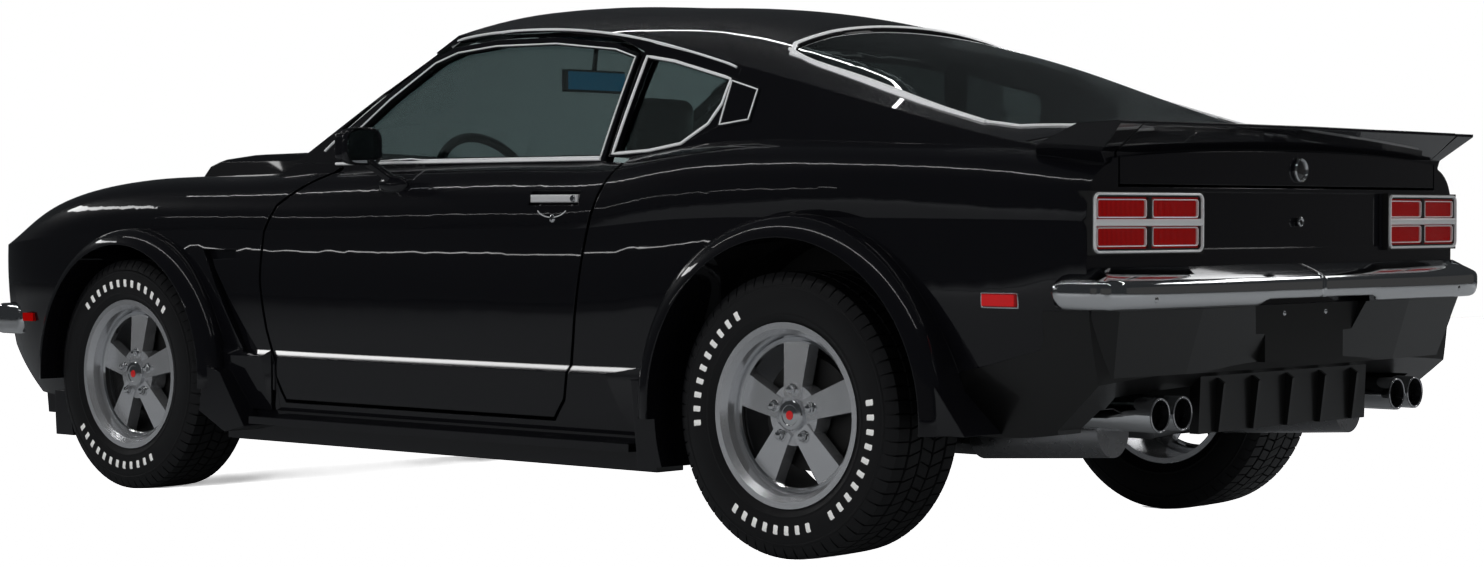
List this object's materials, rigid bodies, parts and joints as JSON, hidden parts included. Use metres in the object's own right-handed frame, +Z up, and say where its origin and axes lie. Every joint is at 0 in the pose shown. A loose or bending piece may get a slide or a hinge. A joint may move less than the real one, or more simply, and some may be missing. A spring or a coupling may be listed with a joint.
{
  "type": "fastback muscle car",
  "caption": "Black fastback muscle coupe with flared arches, chrome bumpers, rear spoiler and spoked wheels, with opening doors, bonnet and boot lid.",
  "frame": {"origin": "centre of the box round the whole car, at the ground", "axes": "+X forward, +Y to the car's left, +Z up"},
  "size_m": [4.224, 1.804, 1.3408],
  "materials": {
    "body_paint": "gloss",
    "window_glass": "gloss",
    "tyre_rubber": "matte",
    "wheel_alloy": "polished",
    "chrome_trim": "polished",
    "red_lens": "gloss",
    "lamp_glass": "gloss",
    "seat_leather": "satin",
    "black_plastic": "matte",
    "iron_parts": "matte",
    "exhaust_steel": "satin",
    "black_underbody": "matte"
  },
  "bodies": {
    "chassis": {"cowl": "body_paint", "dashboard": "black_plastic", "driveline": "iron_parts", "engine": "iron_parts", "engine_bay": "black_underbody", "exhaust": "exhaust_steel", "fender_left": "body_paint", "fender_right": "body_paint", "floor_pan": "black_underbody", "front_bumper": "chrome_trim", "front_seats": "seat_leather", "front_suspension": "iron_parts", "fuel_tank": "black_underbody", "grille": "black_plastic", "headlamps": "lamp_glass", "interior_mirror": "black_plastic", "nose_panel": "body_paint", "quarter_glass": "window_glass", "quarter_panel_left": "body_paint", "quarter_panel_right": "body_paint", "rear_axle": "iron_parts", "rear_bulkhead": "black_plastic", "rear_bumper": "chrome_trim", "rear_seat": "seat_leather", "rear_valance": "body_paint", "rear_window": "window_glass", "roof_panel": "body_paint", "side_markers": "red_lens", "sills": "body_paint", "tail_lamp_bezels": "chrome_trim", "tail_lamp_lenses": "red_lens", "tail_panel": "body_paint", "wheelhouses": "black_underbody", "windshield": "window_glass"},
    "door_left_body": {"door_left": "body_paint", "door_glass_left": "window_glass", "door_handle_left": "chrome_trim"},
    "door_right_body": {"door_right": "body_paint", "door_glass_right": "window_glass", "door_handle_right": "chrome_trim"},
    "hood_body": {"hood": "body_paint"},
    "trunk_lid_body": {"trunk_lid": "body_paint"},
    "steering_wheel_body": {"steering_wheel": "black_plastic"},
    "knuckle_left_body": {"knuckle_left": "iron_parts"},
    "knuckle_right_body": {"knuckle_right": "iron_parts"},
    "wheel_front_left_body": {"wheel_front_left": "wheel_alloy", "tyre_front_left": "tyre_rubber"},
    "wheel_front_right_body": {"wheel_front_right": "wheel_alloy", "tyre_front_right": "tyre_rubber"},
    "wheel_rear_left_body": {"wheel_rear_left": "wheel_alloy", "tyre_rear_left": "tyre_rubber"},
    "wheel_rear_right_body": {"wheel_rear_right": "wheel_alloy", "tyre_rear_right": "tyre_rubber"}
  },
  "joints": [
    {"name": "door_left_hinge", "type": "hinge", "parent": "chassis", "child": "door_left_body", "pos_m": [0.645, 0.802, 0.55], "axis": [0, 0, -1], "range_deg": [0, 65]},
    {"name": "door_right_hinge", "type": "hinge", "parent": "chassis", "child": "door_right_body", "pos_m": [0.645, -0.802, 0.55], "axis": [0, 0, 1], "range_deg": [0, 65]},
    {"name": "hood_hinge", "type": "hinge", "parent": "chassis", "child": "hood_body", "pos_m": [0.862, 0, 0.89], "axis": [0, -1, 0], "range_deg": [0, 55]},
    {"name": "trunk_hinge", "type": "hinge", "parent": "chassis", "child": "trunk_lid_body", "pos_m": [-1.802, 0, 0.963], "axis": [0, 1, 0], "range_deg": [0, 70]},
    {"name": "steering_column", "type": "hinge", "parent": "chassis", "child": "steering_wheel_body", "pos_m": [0.25, 0.37, 0.826], "axis": [-0.9135, 0, 0.4067], "range_deg": [-450, 450]},
    {"name": "steer_left", "type": "hinge", "parent": "chassis", "child": "knuckle_left_body", "pos_m": [1.26, 0.664, 0.326], "axis": [0, 0, 1], "range_deg": [-31, 31]},
    {"name": "steer_right", "type": "hinge", "parent": "chassis", "child": "knuckle_right_body", "pos_m": [1.26, -0.664, 0.326], "axis": [0, 0, 1], "range_deg": [-31, 31]},
    {"name": "spin_front_left", "type": "hinge", "parent": "knuckle_left_body", "child": "wheel_front_left_body", "pos_m": [1.26, 0.75, 0.326], "axis": [0, 1, 0], "continuous": true},
    {"name": "spin_front_right", "type": "hinge", "parent": "knuckle_right_body", "child": "wheel_front_right_body", "pos_m": [1.26, -0.75, 0.326], "axis": [0, 1, 0], "continuous": true},
    {"name": "spin_rear_left", "type": "hinge", "parent": "chassis", "child": "wheel_rear_left_body", "pos_m": [-1.24, 0.75, 0.326], "axis": [0, 1, 0], "continuous": true},
    {"name": "spin_rear_right", "type": "hinge", "parent": "chassis", "child": "wheel_rear_right_body", "pos_m": [-1.24, -0.75, 0.326], "axis": [0, 1, 0], "continuous": true}
  ],
  "couplings": [
    {"joint": "steer_left", "follows": "steering_column", "ratio": 0.0667},
    {"joint": "steer_right", "follows": "steering_column", "ratio": 0.0667}
  ]
}
